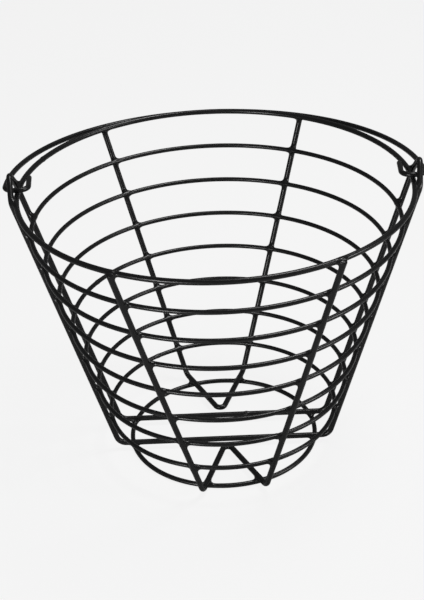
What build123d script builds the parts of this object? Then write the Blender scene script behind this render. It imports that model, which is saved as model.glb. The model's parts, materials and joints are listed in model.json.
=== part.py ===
from build123d import *
from math import atan2, cos, degrees, radians, sin, sqrt
import os

# Welded-wire egg basket: a tapered cage of round hoops on a foot ring, two W-shaped stays, two hairpin
# wires that rise above the rim as ears, and a bail handle that swings in the ears.
# Millimetres. Origin: centre of the circle that the foot ring stands on. +Z up, ears on X, front at -Y.

# Wire diameters, coated
RIM_WIRE = 4.6
HOOP_WIRE = 4.0
FOOT_WIRE = 4.2
STAY_WIRE = 5.0
EAR_WIRE = 5.0
HANDLE_WIRE = 4.5

# Wall: a cone of evenly spaced hoops
RIM_RADIUS = 165.0          # to the middle of the wire, as all radii here
RIM_HEIGHT = 249.4          # middle of the rim wire above the ground
HOOP_COUNT = 7
HOOP_PITCH = 30.7
HOOP_STEP = 9.1             # each hoop's radius is this much less than the one above it
FOOT_RADIUS = 83.6
WELD_SINK = 0.4             # how deep two crossing wires are pressed into each other

# W-shaped stays, front and back: half the angle between the legs, and how far the ends and the feet are
# turned round the basket from square to the ears, as hand welding leaves them
FRONT_TOP_ANGLE = 31.2
FRONT_TOP_TURN = 2.0
FRONT_FOOT_TURN = 4.2
BACK_TOP_ANGLE = 32.7
BACK_TOP_TURN = 3.4
BACK_FOOT_TURN = 3.3
STAY_FOOT_ANGLE = 16.5
STAY_BEND = 6.0
STAY_BOW = 6000.0           # radius of the slight outward bow of a leg
TIP_DISTANCE = 31.3         # from the basket's axis to the middle of the wire at the V tip
TIP_BEND = 4.5
STAY_END_DROP = 0.3         # the cut ends lie this far under the middle of the rim wire

# Hairpin ear wires
EAR_HALF_SPAN = 19.0        # each leg's distance from the XZ plane
EAR_BEND = 9.0              # at the foot of each leg
EAR_KINK = 8.0              # where a leg leans in above the rim
EAR_APEX_BEND = 5.0
EAR_RISE = 16.6             # top of the ear's wire centre above the rim's
EAR_LEAN = 2.1              # how far the apex stands out from the legs
BACK_JOINT_X = 22.0         # butt welds between the left and right ear wires
FRONT_JOINT_X = 48.0

# Bail handle, lying back on the basket
HANDLE_RADIUS = 175.2       # half the arch's width
HANDLE_DEPTH = 183.6        # from the ears' line to the arch's crown
HOOK_BEND = 8.5
HOOK_INNER_X = 155.2        # the hook's tail, inside the rim
HOOK_TAIL = 29.0
HOOK_CURL = 2.0             # how far the tail's tip turns back towards the rim
PIVOT_Y = -3.0
RUNNING_GAP = 0.35          # between the hook's cross run and the rim's top
HANDLE_DROP = 3.8          # degrees that the handle hangs below level at rest

BLACK = Color(0.05, 0.05, 0.05)

# Worked out from the sizes above
STAY_OFFSET = (HOOP_WIRE + STAY_WIRE) / 2 - WELD_SINK
EAR_OFFSET = (HOOP_WIRE + EAR_WIRE) / 2 - WELD_SINK
FOOT_HEIGHT = FOOT_WIRE / 2
RUN_HEIGHT = FOOT_WIRE + max(STAY_WIRE, EAR_WIRE) / 2 - WELD_SINK
PIVOT_Z = RIM_HEIGHT + (RIM_WIRE + HANDLE_WIRE) / 2 + RUNNING_GAP


def wall_radius(height):
    """Radius of the hoops' cone at a height."""
    return RIM_RADIUS - (RIM_HEIGHT - height) * HOOP_STEP / HOOP_PITCH


def polar(radius, angle, height):
    """Point at an angle from the back (+Y), turned towards -X."""
    return Vector(-radius * sin(radians(angle)), radius * cos(radians(angle)), height)


def ring(radius, height, wire):
    """Closed round hoop of wire."""
    return Pos(0, 0, height) * Torus(radius, wire / 2)


def bent_wire(points, radii, wire):
    """Round wire along a line with a rounded corner at each inner point."""
    line = FilletPolyline(*points, radius=radii)
    start = Plane(origin=line @ 0, z_dir=line % 0)
    return sweep(start * Circle(wire / 2), path=line, transition=Transition.RIGHT)


def stay_wire(middle, top_angle, top_turn, foot_turn):
    """W-shaped stay: down from the rim, in over the foot ring to a V tip, and back up."""
    top_z = RIM_HEIGHT - STAY_END_DROP
    top_radius = wall_radius(top_z) + STAY_OFFSET
    foot_radius = wall_radius(RUN_HEIGHT) + STAY_OFFSET
    half_x = foot_radius * sin(radians(STAY_FOOT_ANGLE))
    foot_y = foot_radius * cos(radians(STAY_FOOT_ANGLE))
    tip_half_angle = atan2(half_x, foot_y - TIP_DISTANCE + TIP_BEND)
    tip_y = TIP_DISTANCE - TIP_BEND * (1 / sin(tip_half_angle) - 1)
    legs = []
    for side in (1, -1):
        end = polar(top_radius, middle + top_turn + side * top_angle, top_z)
        foot = polar(foot_radius, middle + foot_turn + side * STAY_FOOT_ANGLE, RUN_HEIGHT)
        waist = (end + foot) / 2
        waist_radius = wall_radius(waist.Z) + STAY_OFFSET
        stretch = waist_radius / sqrt(waist.X ** 2 + waist.Y ** 2)
        legs.append([end, Vector(waist.X * stretch, waist.Y * stretch, waist.Z), foot])
    points = [*legs[0], polar(tip_y, middle + foot_turn, RUN_HEIGHT), *reversed(legs[1])]
    radii = [STAY_BOW, STAY_BEND, TIP_BEND, STAY_BEND, STAY_BOW]
    return bent_wire(points, radii, STAY_WIRE)


def ear_wire(side):
    """Hairpin on one side (+1 right, -1 left): two runs under the basket, two legs and the ear."""
    half = EAR_HALF_SPAN
    leg_x = sqrt((wall_radius(RIM_HEIGHT) + EAR_OFFSET) ** 2 - half ** 2)
    foot_x = sqrt((wall_radius(RUN_HEIGHT) + EAR_OFFSET) ** 2 - half ** 2)
    kink_z = RIM_HEIGHT + 1.0
    lean = atan2(EAR_RISE, half)
    apex_z = RIM_HEIGHT + EAR_RISE + EAR_APEX_BEND * (1 / cos(lean) - 1)
    points = [
        (BACK_JOINT_X, half, RUN_HEIGHT),
        (side * foot_x, half, RUN_HEIGHT),
        (side * leg_x, half, kink_z),
        (side * (leg_x + EAR_LEAN), 0, apex_z),
        (side * leg_x, -half, kink_z),
        (side * foot_x, -half, RUN_HEIGHT),
        (FRONT_JOINT_X, -half, RUN_HEIGHT),
    ]
    radii = [EAR_BEND, EAR_KINK, EAR_APEX_BEND, EAR_KINK, EAR_BEND]
    return bent_wire(points, radii, EAR_WIRE)


def handle():
    """Bail: a round arch whose ends hook inwards through the ears, over the rim."""
    hook = [
        (HOOK_INNER_X + HOOK_CURL, HOOK_TAIL, 0),
        (HOOK_INNER_X, 0, 0),
        (HANDLE_RADIUS, 0, 0),
        (HANDLE_RADIUS, HOOK_BEND + 1, 0),
    ]
    right = FilletPolyline(*hook, radius=HOOK_BEND)
    left = FilletPolyline(*[(-x, y, z) for x, y, z in reversed(hook)], radius=HOOK_BEND)
    rise = HANDLE_DEPTH - PIVOT_Y - HOOK_BEND - 1
    arch = EllipticalCenterArc((0, HOOK_BEND + 1), HANDLE_RADIUS, rise, 0, arc_size=180)
    line = Wire([*right.edges(), *arch.edges(), *left.edges()])
    start = Plane(origin=line @ 0, z_dir=line % 0)
    bail = sweep(start * Circle(HANDLE_WIRE / 2), path=line)
    return Pos(0, PIVOT_Y, PIVOT_Z) * Rot(-HANDLE_DROP, 0, 0) * bail


def build():
    """All pieces by name, with each upright notched so that its crossings meet face to face."""
    uprights = {
        "front_stay_wire": stay_wire(180, FRONT_TOP_ANGLE, FRONT_TOP_TURN, FRONT_FOOT_TURN),
        "back_stay_wire": stay_wire(0, BACK_TOP_ANGLE, BACK_TOP_TURN, BACK_FOOT_TURN),
        "left_ear_wire": ear_wire(-1),
        "right_ear_wire": ear_wire(1),
    }
    rings = {"rim_ring": ring(RIM_RADIUS, RIM_HEIGHT, RIM_WIRE)}
    for number in range(1, HOOP_COUNT + 1):
        height = RIM_HEIGHT - number * HOOP_PITCH
        rings[f"hoop_{number}"] = ring(wall_radius(height), height, HOOP_WIRE)
    rings["foot_ring"] = ring(FOOT_RADIUS, FOOT_HEIGHT, FOOT_WIRE)
    pieces = dict(rings)
    for name, upright in uprights.items():
        pieces[name] = upright - list(rings.values())
    pieces["handle"] = handle()
    return pieces


os.makedirs("parts", exist_ok=True)
for name, piece in build().items():
    piece.label = name
    piece.color = BLACK
    export_step(piece, f"parts/{name}.step")
    print(name, round(piece.volume, 1), len(piece.solids()))
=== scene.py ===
"""Welded-wire egg basket: coated wires, weld webs, studio and camera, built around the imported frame."""

from __future__ import annotations

import json
import logging
import math
from dataclasses import dataclass
from enum import Enum

import bpy
import numpy as np
from mathutils import Matrix, Vector, noise

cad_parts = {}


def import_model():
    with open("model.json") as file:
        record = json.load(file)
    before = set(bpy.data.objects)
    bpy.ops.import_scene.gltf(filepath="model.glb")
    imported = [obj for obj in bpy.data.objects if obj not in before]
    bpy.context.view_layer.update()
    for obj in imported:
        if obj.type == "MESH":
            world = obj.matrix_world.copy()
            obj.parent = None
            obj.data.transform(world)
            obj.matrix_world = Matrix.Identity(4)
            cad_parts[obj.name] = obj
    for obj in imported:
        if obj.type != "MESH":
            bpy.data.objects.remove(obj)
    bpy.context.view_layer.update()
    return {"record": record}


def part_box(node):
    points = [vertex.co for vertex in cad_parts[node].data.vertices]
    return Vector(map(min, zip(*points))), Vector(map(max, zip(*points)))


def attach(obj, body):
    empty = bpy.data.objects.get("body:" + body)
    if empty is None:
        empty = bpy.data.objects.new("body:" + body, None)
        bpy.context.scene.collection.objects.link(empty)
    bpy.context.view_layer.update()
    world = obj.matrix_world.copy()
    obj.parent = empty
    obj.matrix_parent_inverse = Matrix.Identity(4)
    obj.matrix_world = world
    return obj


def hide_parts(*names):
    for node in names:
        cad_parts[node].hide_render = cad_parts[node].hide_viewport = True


LOG = logging.getLogger("egg_basket")
MM = 0.001


class Slot(Enum):
    """Material slots of the record."""

    WIRE = "coated_wire"
    HANDLE = "coated_handle_wire"


class End(Enum):
    """How an open wire ends."""

    DIPPED = "dipped"
    BUTT = "butt"


# ---------------------------------------------------------------- shader writing


class Shade:
    """A node socket that takes part in Python arithmetic."""

    def __init__(self, book: NodeBook, socket: bpy.types.NodeSocket) -> None:
        """Wraps one output socket of a node tree."""
        self.book = book
        self.socket = socket

    def _maths(self, operation: str, first: Shade | float, second: Shade | float) -> Shade:
        """Adds one Math node.

        Args:
            operation: the Math node's operation.
            first: left operand, a Shade or a number.
            second: right operand, a Shade or a number.

        Returns:
            The node's value.
        """
        return self.book.node("ShaderNodeMath", {"operation": operation}, {0: first, 1: second})

    def __add__(self, other: Shade | float) -> Shade:
        """Returns self + other."""
        return self._maths("ADD", self, other)

    __radd__ = __add__

    def __sub__(self, other: Shade | float) -> Shade:
        """Returns self - other."""
        return self._maths("SUBTRACT", self, other)

    def __rsub__(self, other: Shade | float) -> Shade:
        """Returns other - self."""
        return self._maths("SUBTRACT", other, self)

    def __mul__(self, other: Shade | float) -> Shade:
        """Returns self * other."""
        return self._maths("MULTIPLY", self, other)

    __rmul__ = __mul__


class NodeBook:
    """Writes the nodes of one material or world."""

    def __init__(self, owner: bpy.types.Material | bpy.types.World) -> None:
        """Starts an empty node tree in its owner."""
        self.owner = owner
        self.owner.use_nodes = True
        self.tree = self.owner.node_tree
        self.tree.nodes.clear()

    def node(self, kind: str, settings: dict, inputs: dict, output: int | str = 0) -> Shade:
        """Adds a node.

        Args:
            kind: the node's type name.
            settings: attributes set first; "stops" fills a colour ramp.
            inputs: socket name or number to a Shade or a value.
            output: which output to return.

        Returns:
            The chosen output.
        """
        made = self.tree.nodes.new(kind)
        for key, value in settings.items():
            if key == "stops":
                ramp = made.color_ramp.elements
                while len(ramp) < len(value):
                    ramp.new(0.5)
                for element, (place, colour) in zip(ramp, value):
                    element.position = place
                    element.color = colour
            else:
                setattr(made, key, value)
        for key, value in inputs.items():
            if isinstance(value, Shade):
                self.tree.links.new(value.socket, made.inputs[key])
            else:
                made.inputs[key].default_value = value
        return Shade(self, made.outputs[output])

    def finish(self, surface: Shade,
               output: str = "ShaderNodeOutputMaterial") -> bpy.types.Material | bpy.types.World:
        """Links the surface to an output node.

        Args:
            surface: the last shader.
            output: the output node's type name.

        Returns:
            The material or world that owns the nodes.
        """
        end = self.tree.nodes.new(output)
        self.tree.links.new(surface.socket, end.inputs["Surface"])
        return self.owner


@dataclass(frozen=True)
class DipCoating:
    """Black plastic that the wire was dipped in: smooth, a little wavy, with faint dust on top."""

    name: str
    dark: tuple[float, float, float, float] = (0.004, 0.004, 0.0042, 1.0)
    worn: tuple[float, float, float, float] = (0.0095, 0.0095, 0.0098, 1.0)
    roughness: float = 0.3
    roughness_spread: float = 0.12
    peel_scale: float = 720.0
    cloud_scale: float = 48.0
    peel_height: float = 0.00006

    def material(self) -> bpy.types.Material:
        """Returns the coating's material."""
        book = NodeBook(bpy.data.materials.new(self.name))
        place = book.node("ShaderNodeTexCoord", {}, {}, "Object")
        cloud = book.node("ShaderNodeTexNoise", {}, {
            "Vector": place, "Scale": self.cloud_scale, "Detail": 3.0, "Roughness": 0.55}, "Fac")
        peel = book.node("ShaderNodeTexNoise", {}, {
            "Vector": place, "Scale": self.peel_scale, "Detail": 2.0, "Roughness": 0.5}, "Fac")
        flow = book.node("ShaderNodeTexNoise", {}, {
            "Vector": place, "Scale": self.peel_scale / 5, "Detail": 1.0, "Roughness": 0.4}, "Fac")
        colour = book.node("ShaderNodeMix", {"data_type": "RGBA"}, {
            0: cloud * 0.7 + peel * 0.3, 6: self.dark, 7: self.worn}, 2)
        roughness = cloud * self.roughness_spread + (self.roughness - self.roughness_spread / 2)
        height = flow * 0.75 + peel * 0.25
        bump = book.node("ShaderNodeBump", {}, {
            "Strength": 0.35, "Distance": self.peel_height * 10, "Height": height}, "Normal")
        surface = book.node("ShaderNodeBsdfPrincipled", {}, {
            "Base Color": colour, "Roughness": roughness, "Normal": bump,
            "Specular IOR Level": 0.42, "IOR": 1.45}, "BSDF")
        return book.finish(surface)


# ---------------------------------------------------------------- wire geometry


def rounded_path(points: list[Vector], radii: list[float]) -> np.ndarray:
    """Runs a line through points with a round corner at each inner one.

    Args:
        points: corners of the line.
        radii: one radius for each inner point.

    Returns:
        Points along the line, close together in the corners.
    """
    path = [points[0]]
    for before, corner, after, radius in zip(points, points[1:], points[2:], radii):
        into = (corner - before).normalized()
        out = (after - corner).normalized()
        turn = into.angle(out)
        cut = radius * math.tan(turn / 2)
        start = corner - into * cut
        side = (out - into * into.dot(out)).normalized()
        steps = max(6, int(math.degrees(turn) / 5))
        for index in range(steps + 1):
            angle = turn * index / steps
            path.append(start + into * (radius * math.sin(angle)) + side * (radius * (1 - math.cos(angle))))
    path.append(points[-1])
    return np.array([tuple(point) for point in path])


def circle_path(radius: float, height: float) -> np.ndarray:
    """Returns a level circle's points, first and last the same."""
    angles = np.linspace(0, 2 * math.pi, 361) + math.pi / 2
    return np.stack([radius * np.cos(angles), radius * np.sin(angles), np.full_like(angles, height)], 1)


@dataclass
class Wire:
    """One bent wire: its centre line, its thickness and how it ends.

    The coating's webs at crossings come from a smooth union with the wires that it touches.
    """

    node: str
    body: str
    path: np.ndarray
    radius: float
    slot: Slot = Slot.WIRE
    closed: bool = False
    ends: tuple[End, End] = (End.DIPPED, End.DIPPED)
    weld_at: float | None = None
    sides: int = 24
    sample_step: float = 0.5 * MM
    fine_step: float = 0.75 * MM
    coarse_step: float = 5.0 * MM
    shortest_step: float = 0.3 * MM
    busy_margin: float = 1.5 * MM
    tight_bend: float = 40.0 * MM
    web: float = 4.6 * MM
    web_rounds: int = 6
    web_limit: float = 0.32
    wave: float = 0.035 * MM
    wave_scale: float = 55.0
    ripple_scale: float = 160.0
    bead: float = 0.45 * MM
    bead_width: float = 1.5 * MM
    dome: float = 0.42

    def webs_with(self, other: Wire) -> bool:
        """Whether crossings with another wire are webbed: not with itself or its butt-welded half."""
        butted = self.ends[0] is End.BUTT and other.ends[0] is End.BUTT
        return other is not self and not butted

    def gap(self, places: np.ndarray) -> np.ndarray:
        """Distance from places to this wire's surface.

        Args:
            places: points, one per row.

        Returns:
            One distance per point, negative inside the wire.
        """
        if self.closed:
            radius = math.hypot(self.path[0, 0], self.path[0, 1])
            across = np.hypot(places[:, 0], places[:, 1]) - radius
            return np.hypot(across, places[:, 2] - self.path[0, 2]) - self.radius
        best = np.full(len(places), np.inf)
        for start, end in zip(self.path[:-1], self.path[1:]):
            run = end - start
            along = np.clip((places - start) @ run / max(run @ run, 1e-18), 0, 1)
            away = places - start - along[:, None] * run
            best = np.minimum(best, np.einsum("ij,ij->i", away, away))
        return np.sqrt(best) - self.radius

    def _stations(self, others: list[Wire]) -> tuple[np.ndarray, np.ndarray]:
        """Chooses the cross-sections, close together at crossings and bends.

        Args:
            others: wires that this one may touch.

        Returns:
            Centre points, and their distances along the wire.
        """
        length = np.concatenate([[0], np.cumsum(np.linalg.norm(np.diff(self.path, axis=0), axis=1))])
        count = int(length[-1] / self.sample_step) + 1
        marks = np.linspace(0, length[-1], count)
        line = np.stack([np.interp(marks, length, self.path[:, axis]) for axis in range(3)], 1)
        near = np.full(count, np.inf)
        for other in others:
            near = np.minimum(near, other.gap(line) - self.radius)
        heading = np.gradient(line, axis=0)
        heading /= np.linalg.norm(heading, axis=1)[:, None]
        bend = np.linalg.norm(np.gradient(heading, axis=0), axis=1) / (marks[1] - marks[0])
        busy = (near < self.web + self.busy_margin) | (bend * self.tight_bend > 1)
        for special in self._welds(length[-1]):
            busy |= np.abs(marks - special) < 3 * self.bead_width
        busy[[0, -1]] = True
        kept = [0]
        for index in range(1, count):
            step = self.fine_step if busy[index] else self.coarse_step
            waited = marks[index] - marks[kept[-1]]
            if waited >= step - 1e-9 or (busy[index] and not busy[kept[-1]] and waited > self.fine_step):
                kept.append(index)
        if kept[-1] != count - 1:
            if marks[-1] - marks[kept[-1]] < self.shortest_step and len(kept) > 2:
                kept.pop()
            kept.append(count - 1)
        return line[kept], marks[kept]

    def _welds(self, total: float) -> list[float]:
        """Finds where a butt weld leaves a bead.

        Args:
            total: the wire's length.

        Returns:
            Distances along the wire.
        """
        found = [] if self.weld_at is None else [self.weld_at * total]
        if self.ends[0] is End.BUTT:
            found.append(0.0)
        if self.ends[1] is End.BUTT:
            found.append(total)
        return found

    def _axes(self, line: np.ndarray) -> tuple[np.ndarray, np.ndarray, np.ndarray]:
        """Carries a pair of cross directions along the line without twist.

        Args:
            line: centre points of the cross-sections.

        Returns:
            The heading at each point, and the two directions across it.
        """
        heading = np.gradient(line, axis=0)
        if self.closed:
            heading[0] = heading[-1] = line[1] - line[-2]
        heading /= np.linalg.norm(heading, axis=1)[:, None]
        first = np.zeros_like(line)
        up = np.array([0.0, 0.0, 1.0])
        if abs(heading[0] @ up) > 0.9:
            up = np.array([1.0, 0.0, 0.0])
        for index, ahead in enumerate(heading):
            up = up - ahead * (up @ ahead)
            up /= np.linalg.norm(up)
            first[index] = up
        return heading, first, np.cross(heading, first)

    def _thickness(self, marks: np.ndarray, total: float) -> np.ndarray:
        """Adds the beads of butt welds to the wire's radius.

        Args:
            marks: distances of the cross-sections along the wire.
            total: the wire's length.

        Returns:
            The radius at each cross-section.
        """
        thick = np.full(len(marks), self.radius)
        for special in self._welds(total):
            thick += self.bead * np.exp(-((marks - special) / self.bead_width) ** 2)
        return thick

    def _dress(self, centres: np.ndarray, normals: np.ndarray, thick: np.ndarray,
               others: list[Wire]) -> np.ndarray:
        """Moves skin points out to the coating's surface.

        Args:
            centres: the centre-line point under each skin point.
            normals: each skin point's outward direction.
            thick: the wire's radius at each skin point.
            others: wires whose crossings are webbed.

        Returns:
            The skin points.
        """
        reach = np.zeros(len(centres))
        base = centres + normals * thick[:, None]
        for other in others:
            close = np.flatnonzero(other.gap(base) < self.web)
            if not len(close):
                continue
            push = np.zeros(len(close))
            for _ in range(self.web_rounds):
                there = other.gap(base[close] + normals[close] * push[:, None])
                blend = np.maximum(self.web - np.abs(push - there), 0) ** 2 / (4 * self.web)
                push = np.clip(push - (np.minimum(push, there) - blend), 0, self.web_limit * self.web)
            reach[close] = np.maximum(reach[close], push)
        shifted = Vector((7, 3, 5))
        ripple = np.array([
            noise.noise(Vector(place) * self.wave_scale)
            + 0.5 * noise.noise(Vector(place) * self.ripple_scale + shifted)
            for place in base])
        return base + normals * (reach + ripple * self.wave)[:, None]

    def build(self, others: list[Wire], material: bpy.types.Material) -> bpy.types.Object:
        """Makes the wire's mesh and puts it in place of its node.

        Args:
            others: wires of the same body that it may touch.
            material: the finish.

        Returns:
            The new object.
        """
        line, marks = self._stations(others)
        total = marks[-1]
        if self.closed:
            line, marks = line[:-1], marks[:-1]
            heading, first, second = self._axes(np.vstack([line, line[:1]]))
            heading, first, second = heading[:-1], first[:-1], second[:-1]
        else:
            heading, first, second = self._axes(line)
        angles = np.arange(self.sides) * 2 * math.pi / self.sides
        cosines, sines = np.cos(angles)[None, :, None], np.sin(angles)[None, :, None]
        around = first[:, None] * cosines + second[:, None] * sines
        thick = self._thickness(marks, total)
        centres = np.repeat(line, self.sides, 0)
        normals = around.reshape(-1, 3)
        skin = self._dress(centres, normals, np.repeat(thick, self.sides), others)
        rows = [skin[index * self.sides:(index + 1) * self.sides] for index in range(len(line))]
        if not self.closed:
            start = self._cap(rows[0], line[0], -heading[0], self.ends[0])
            end = self._cap(rows[-1], line[-1], heading[-1], self.ends[1])
            rows = [*reversed(start), *rows, *end]
        return self._mesh(rows, material)

    def _cap(self, row: np.ndarray, centre: np.ndarray, outward: np.ndarray, end: End) -> list[np.ndarray]:
        """Closes an open end with a soft dome of coating, or with a flat butt face.

        Args:
            row: the skin's last row of points.
            centre: the centre-line point of that row.
            outward: the direction out of the wire's end.
            end: how the wire ends.

        Returns:
            Further rows of points, from the row outwards.
        """
        if end is End.BUTT:
            return [centre + (row - centre) * share for share in (0.6, 0.2)]
        bulge = self.dome * self.radius
        rows = []
        for angle in (0.35, 0.7, 1.05, 1.35):
            share = 0.25 + 0.75 * math.cos(angle) if angle < 1.2 else 0.3
            rows.append(centre + (row - centre) * share + outward * bulge * math.sin(angle))
        return rows

    def _mesh(self, rows: list[np.ndarray], material: bpy.types.Material) -> bpy.types.Object:
        """Joins rows of points into a closed skin.

        Args:
            rows: the rows in order along the wire.
            material: the finish.

        Returns:
            The new object, riding on its body in place of its node.
        """
        sides = self.sides
        points = np.vstack(rows)
        faces = []
        last = len(rows) if self.closed else len(rows) - 1
        for index in range(last):
            here = index * sides
            there = ((index + 1) % len(rows)) * sides
            for side in range(sides):
                after = (side + 1) % sides
                faces.append((here + side, here + after, there + after, there + side))
        if not self.closed:
            faces.append(tuple(reversed(range(sides))))
            faces.append(tuple(range((len(rows) - 1) * sides, len(rows) * sides)))
        mesh = bpy.data.meshes.new(f"{self.node}_coated")
        mesh.from_pydata([tuple(point) for point in points], [], faces)
        mesh.validate()
        mesh.update()
        mesh.polygons.foreach_set("use_smooth", [True] * len(mesh.polygons))
        mesh.materials.append(material)
        piece = bpy.data.objects.new(f"{self.node}_coated", mesh)
        bpy.context.scene.collection.objects.link(piece)
        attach(piece, self.body)
        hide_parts(self.node)
        LOG.info("%s: %d faces", piece.name, len(faces))
        return piece


# ---------------------------------------------------------------- sub-assemblies


@dataclass
class Wall:
    """Rim, hoops and foot ring, read from the frame."""

    hoop_count: int = 7
    body: str = "basket"
    weld_middle: float = 0.18
    weld_spread: float = 0.09
    weld_turn: float = 2.4
    ring_bead: float = 0.25 * MM

    def __post_init__(self) -> None:
        """Reads each ring's radius, height and wire from its node's box."""
        self.rim = self._measure("rim_ring")
        self.hoops = [self._measure(f"hoop_{number}") for number in range(1, self.hoop_count + 1)]
        self.foot = self._measure("foot_ring")
        self.slope = (self.rim[0] - self.hoops[-1][0]) / (self.rim[1] - self.hoops[-1][1])

    @staticmethod
    def _measure(node: str) -> tuple[float, float, float]:
        """Returns a ring node's centre-line radius, height and wire radius."""
        low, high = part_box(node)
        wire = (high[2] - low[2]) / 2
        return (high[0] - low[0]) / 2 - wire, (high[2] + low[2]) / 2, wire

    def radius(self, height: float) -> float:
        """Returns the hoops' cone radius at a height."""
        return self.rim[0] - (self.rim[1] - height) * self.slope

    def wires(self) -> list[Wire]:
        """Returns the rings as wires."""
        names = ["rim_ring", *[f"hoop_{n + 1}" for n in range(self.hoop_count)], "foot_ring"]
        made = []
        rings = zip(names, [self.rim, *self.hoops, self.foot])
        for index, (name, (radius, height, wire)) in enumerate(rings):
            weld = self.weld_middle + self.weld_spread * math.sin(self.weld_turn * index)
            made.append(Wire(name, self.body, circle_path(radius, height), wire, closed=True, weld_at=weld,
                             bead=self.ring_bead))
        return made


@dataclass
class Uprights:
    """The two W-shaped stays and the two hairpin ear wires."""

    wall: Wall
    body: str = "basket"
    wire: float = 2.5 * MM
    sink: float = 0.4 * MM
    stay_foot_angle: float = 16.5
    stay_bend: float = 6.0 * MM
    stay_bow: float = 6.0
    tip_distance: float = 31.3 * MM
    tip_bend: float = 4.5 * MM
    ear_bend: float = 9.0 * MM
    ear_kink: float = 8.0 * MM
    ear_apex_bend: float = 5.0 * MM
    ear_lean: float = 2.1 * MM
    kink_rise: float = 1.0 * MM

    def __post_init__(self) -> None:
        """Works out the heights that all uprights share."""
        self.offset = self.wall.hoops[0][2] + self.wire - self.sink
        self.run_height = 2 * self.wall.foot[2] + self.wire - self.sink

    @staticmethod
    def _polar(radius: float, angle: float, height: float) -> Vector:
        """Returns the point at an angle from the back, turned towards -X."""
        turn = math.radians(angle)
        return Vector((-radius * math.sin(turn), radius * math.cos(turn), height))

    def stay(self, node: str, middle: float, top_angle: float, top_turn: float, foot_turn: float) -> Wire:
        """Makes a W-shaped stay.

        Args:
            node: its name.
            middle: 0 at the back, 180 at the front.
            top_angle: half angle between its two ends.
            top_turn: how far its ends are turned round the basket.
            foot_turn: how far its feet and tip are turned round.

        Returns:
            The wire.
        """
        top_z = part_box(node)[1][2] - self.wire * math.sin(math.atan(self.wall.slope))
        top_radius = self.wall.radius(top_z) + self.offset
        foot_radius = self.wall.radius(self.run_height) + self.offset
        half_x = foot_radius * math.sin(math.radians(self.stay_foot_angle))
        foot_y = foot_radius * math.cos(math.radians(self.stay_foot_angle))
        half_tip = math.atan2(half_x, foot_y - self.tip_distance + self.tip_bend)
        tip_y = self.tip_distance - self.tip_bend * (1 / math.sin(half_tip) - 1)
        legs = []
        for side in (1, -1):
            end = self._polar(top_radius, middle + top_turn + side * top_angle, top_z)
            foot = self._polar(foot_radius, middle + foot_turn + side * self.stay_foot_angle, self.run_height)
            waist = (end + foot) / 2
            stretch = (self.wall.radius(waist.z) + self.offset) / math.hypot(waist.x, waist.y)
            legs.append([end, Vector((waist.x * stretch, waist.y * stretch, waist.z)), foot])
        points = [*legs[0], self._polar(tip_y, middle + foot_turn, self.run_height), *reversed(legs[1])]
        radii = [self.stay_bow, self.stay_bend, self.tip_bend, self.stay_bend, self.stay_bow]
        return Wire(node, self.body, rounded_path(points, radii), self.wire)

    def ear(self, node: str, side: int) -> Wire:
        """Makes the hairpin ear wire of one side.

        Args:
            node: its name.
            side: -1 on the left, 1 on the right.

        Returns:
            The wire.
        """
        low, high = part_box(node)
        half = (high[1] - low[1]) / 2 - self.wire
        leg_x = math.sqrt((self.wall.rim[0] + self.offset) ** 2 - half ** 2)
        foot_x = math.sqrt((self.wall.radius(self.run_height) + self.offset) ** 2 - half ** 2)
        kink_z = self.wall.rim[1] + self.kink_rise
        rise = high[2] - self.wire - self.wall.rim[1]
        lean = math.atan2(rise, half)
        apex_z = self.wall.rim[1] + rise + self.ear_apex_bend * (1 / math.cos(lean) - 1)
        back_x, front_x = self.joint_x
        corners = [
            (back_x, half, self.run_height), (side * foot_x, half, self.run_height),
            (side * leg_x, half, kink_z), (side * (leg_x + self.ear_lean), 0, apex_z),
            (side * leg_x, -half, kink_z), (side * foot_x, -half, self.run_height),
            (front_x, -half, self.run_height)]
        radii = [self.ear_bend, self.ear_kink, self.ear_apex_bend, self.ear_kink, self.ear_bend]
        path = rounded_path([Vector(corner) for corner in corners], radii)
        return Wire(node, self.body, path, self.wire, ends=(End.BUTT, End.BUTT))

    @property
    def joint_x(self) -> tuple[float, float]:
        """Where the left and right ear wires are butt-welded: the back run's place, and the front run's."""
        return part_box("right_ear_wire")[0][0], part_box("left_ear_wire")[1][0]

    def wires(self) -> list[Wire]:
        """Returns all four uprights."""
        return [
            self.stay("front_stay_wire", middle=180, top_angle=31.2, top_turn=2.0, foot_turn=4.2),
            self.stay("back_stay_wire", middle=0, top_angle=32.7, top_turn=3.4, foot_turn=3.3),
            self.ear("left_ear_wire", -1),
            self.ear("right_ear_wire", 1)]


@dataclass
class Bail:
    """The handle: a half-ellipse arch with a hook at each end."""

    pivot: Vector
    body: str = "handle"
    wire: float = 2.25 * MM
    hook_bend: float = 8.5 * MM
    hook_inner: float = 155.2 * MM
    hook_tail: float = 29.0 * MM
    hook_curl: float = 2.0 * MM
    reach: float = 1.0 * MM
    depth: float = 183.6 * MM
    drop: float = 3.8

    def build_wire(self) -> Wire:
        """Returns the handle as a wire."""
        low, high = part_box("handle")
        arch_radius = (high[0] - low[0]) / 2 - self.wire
        tilt = Matrix.Rotation(math.radians(-self.drop), 3, "X")
        spring = self.hook_bend + self.reach
        tip = Vector((self.hook_inner + self.hook_curl, self.hook_tail, 0))
        inner, outer = Vector((self.hook_inner, 0, 0)), Vector((arch_radius, 0, 0))
        hook = [tip, inner, outer, Vector((arch_radius, spring, 0))]
        right = rounded_path(hook, [self.hook_bend] * 2)
        rise = self.depth - self.pivot.y - spring
        turn = np.linspace(0, math.pi, 181)[1:-1]
        arch = np.stack([arch_radius * np.cos(turn), spring + rise * np.sin(turn), np.zeros_like(turn)], 1)
        left = right[::-1] * np.array([-1, 1, 1])
        flat = np.vstack([right, arch, left])
        path = np.array([tuple(self.pivot + tilt @ Vector(point)) for point in flat])
        return Wire("handle", self.body, path, self.wire, slot=Slot.HANDLE)


# ---------------------------------------------------------------- studio


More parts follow.
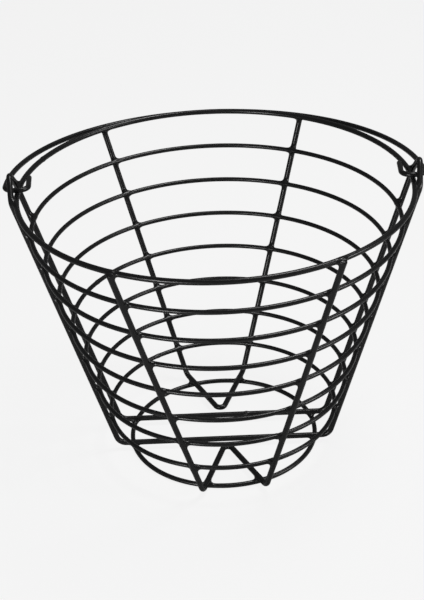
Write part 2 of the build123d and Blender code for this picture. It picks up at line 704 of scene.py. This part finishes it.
@dataclass
class Studio:
    """Pale floor, soft lamps, and the camera."""

    aim: Vector
    azimuth: float = -0.63
    elevation: float = 25.04
    distance: float = 1.1661
    pitch: float = -4.653
    yaw: float = 0.294
    roll: float = -1.997
    lens: float = 83.68
    sensor: float = 36.0
    floor_half: float = 6.0
    floor_height: float = -0.0002
    floor_white: float = 0.86
    world_light: float = 0.12

    def camera(self) -> None:
        """Adds the camera and makes it the scene's."""
        azimuth, elevation = math.radians(self.azimuth), math.radians(self.elevation)
        away = Vector((math.sin(azimuth) * math.cos(elevation), -math.cos(azimuth) * math.cos(elevation),
                       math.sin(elevation)))
        ahead = -away
        right = ahead.cross(Vector((0, 0, 1))).normalized()
        up = right.cross(ahead)
        nod = Matrix.Rotation(math.radians(self.pitch), 3, right)
        ahead, up = nod @ ahead, nod @ up
        swing = Matrix.Rotation(math.radians(self.yaw), 3, up)
        ahead, right = swing @ ahead, swing @ right
        roll = math.radians(self.roll)
        right, up = right * math.cos(roll) + up * math.sin(roll), up * math.cos(roll) - right * math.sin(roll)
        data = bpy.data.cameras.new("camera")
        data.lens = self.lens
        data.sensor_width = self.sensor
        data.clip_start = 0.05
        eye = bpy.data.objects.new("camera", data)
        facing = Matrix((right, up, -ahead)).transposed().to_4x4()
        eye.matrix_world = Matrix.Translation(self.aim + away * self.distance) @ facing
        bpy.context.scene.collection.objects.link(eye)
        bpy.context.scene.camera = eye

    def lamp(self, name: str, place: tuple[float, float, float], size: float, power: float) -> None:
        """Adds a square soft lamp that faces the basket.

        Args:
            name: the lamp's name.
            place: where it hangs.
            size: its side, in metres.
            power: its power, in watts.
        """
        data = bpy.data.lights.new(name, "AREA")
        data.size = size
        data.energy = power
        lamp = bpy.data.objects.new(name, data)
        lamp.location = place
        lamp.rotation_euler = (self.aim - Vector(place)).to_track_quat("-Z", "Y").to_euler()
        bpy.context.scene.collection.objects.link(lamp)

    def floor(self) -> None:
        """Adds a wide pale floor that the camera sees as nearly white."""
        book = NodeBook(bpy.data.materials.new("studio_floor"))
        paper = book.node("ShaderNodeBsdfDiffuse", {}, {"Color": (0.55, 0.55, 0.55, 1)}, "BSDF")
        white = book.node("ShaderNodeEmission", {}, {"Color": (1, 1, 1, 1), "Strength": 1.0}, "Emission")
        ray = book.node("ShaderNodeLightPath", {}, {}, "Is Camera Ray")
        surface = book.node("ShaderNodeMixShader", {}, {
            0: ray * self.floor_white, 1: paper, 2: white}, "Shader")
        mesh = bpy.data.meshes.new("studio_floor")
        half, height = self.floor_half, self.floor_height
        corners = [(-half, -half, height), (half, -half, height), (half, half, height), (-half, half, height)]
        mesh.from_pydata(corners, [], [(0, 1, 2, 3)])
        mesh.materials.append(book.finish(surface))
        ground = bpy.data.objects.new("studio_floor", mesh)
        bpy.context.scene.collection.objects.link(ground)

    def world(self) -> None:
        """Gives the world a soft even light, and white where the camera sees it."""
        book = NodeBook(bpy.data.worlds.new("studio_world"))
        pale = (1, 1, 1, 1)
        soft = book.node("ShaderNodeBackground", {}, {
            "Color": pale, "Strength": self.world_light}, "Background")
        white = book.node("ShaderNodeBackground", {}, {"Color": pale, "Strength": 1.0}, "Background")
        ray = book.node("ShaderNodeLightPath", {}, {}, "Is Camera Ray")
        mix = book.node("ShaderNodeMixShader", {}, {0: ray, 1: soft, 2: white}, "Shader")
        bpy.context.scene.world = book.finish(mix, "ShaderNodeOutputWorld")

    def build(self) -> None:
        """Sets up the whole studio."""
        self.camera()
        self.floor()
        self.world()
        self.lamp("top_lamp", place=(0.5, 0.2, 1.7), size=0.5, power=14)
        self.lamp("left_lamp", place=(-0.8, -1.4, 0.3), size=0.35, power=12)
        self.lamp("right_lamp", place=(1.5, -0.5, 0.7), size=0.35, power=8)
        bpy.context.scene.view_settings.view_transform = "Standard"


def main() -> None:
    """Builds the basket and its studio."""
    logging.basicConfig(level=logging.INFO, format="%(message)s")
    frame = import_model()
    hinge = frame["record"]["behaviour"]["joints"][0]
    coating = DipCoating("black_dip_coating").material()
    grip = DipCoating("black_dip_coating_handle").material()
    wall = Wall()
    basket = wall.wires() + Uprights(wall).wires()
    for wire in basket:
        wire.build([other for other in basket if wire.webs_with(other)], coating)
    Bail(Vector(hinge["pos_m"])).build_wire().build([], grip)
    Studio(Vector((0, 0, wall.rim[1]))).build()


if __name__ == "__main__":
    main()
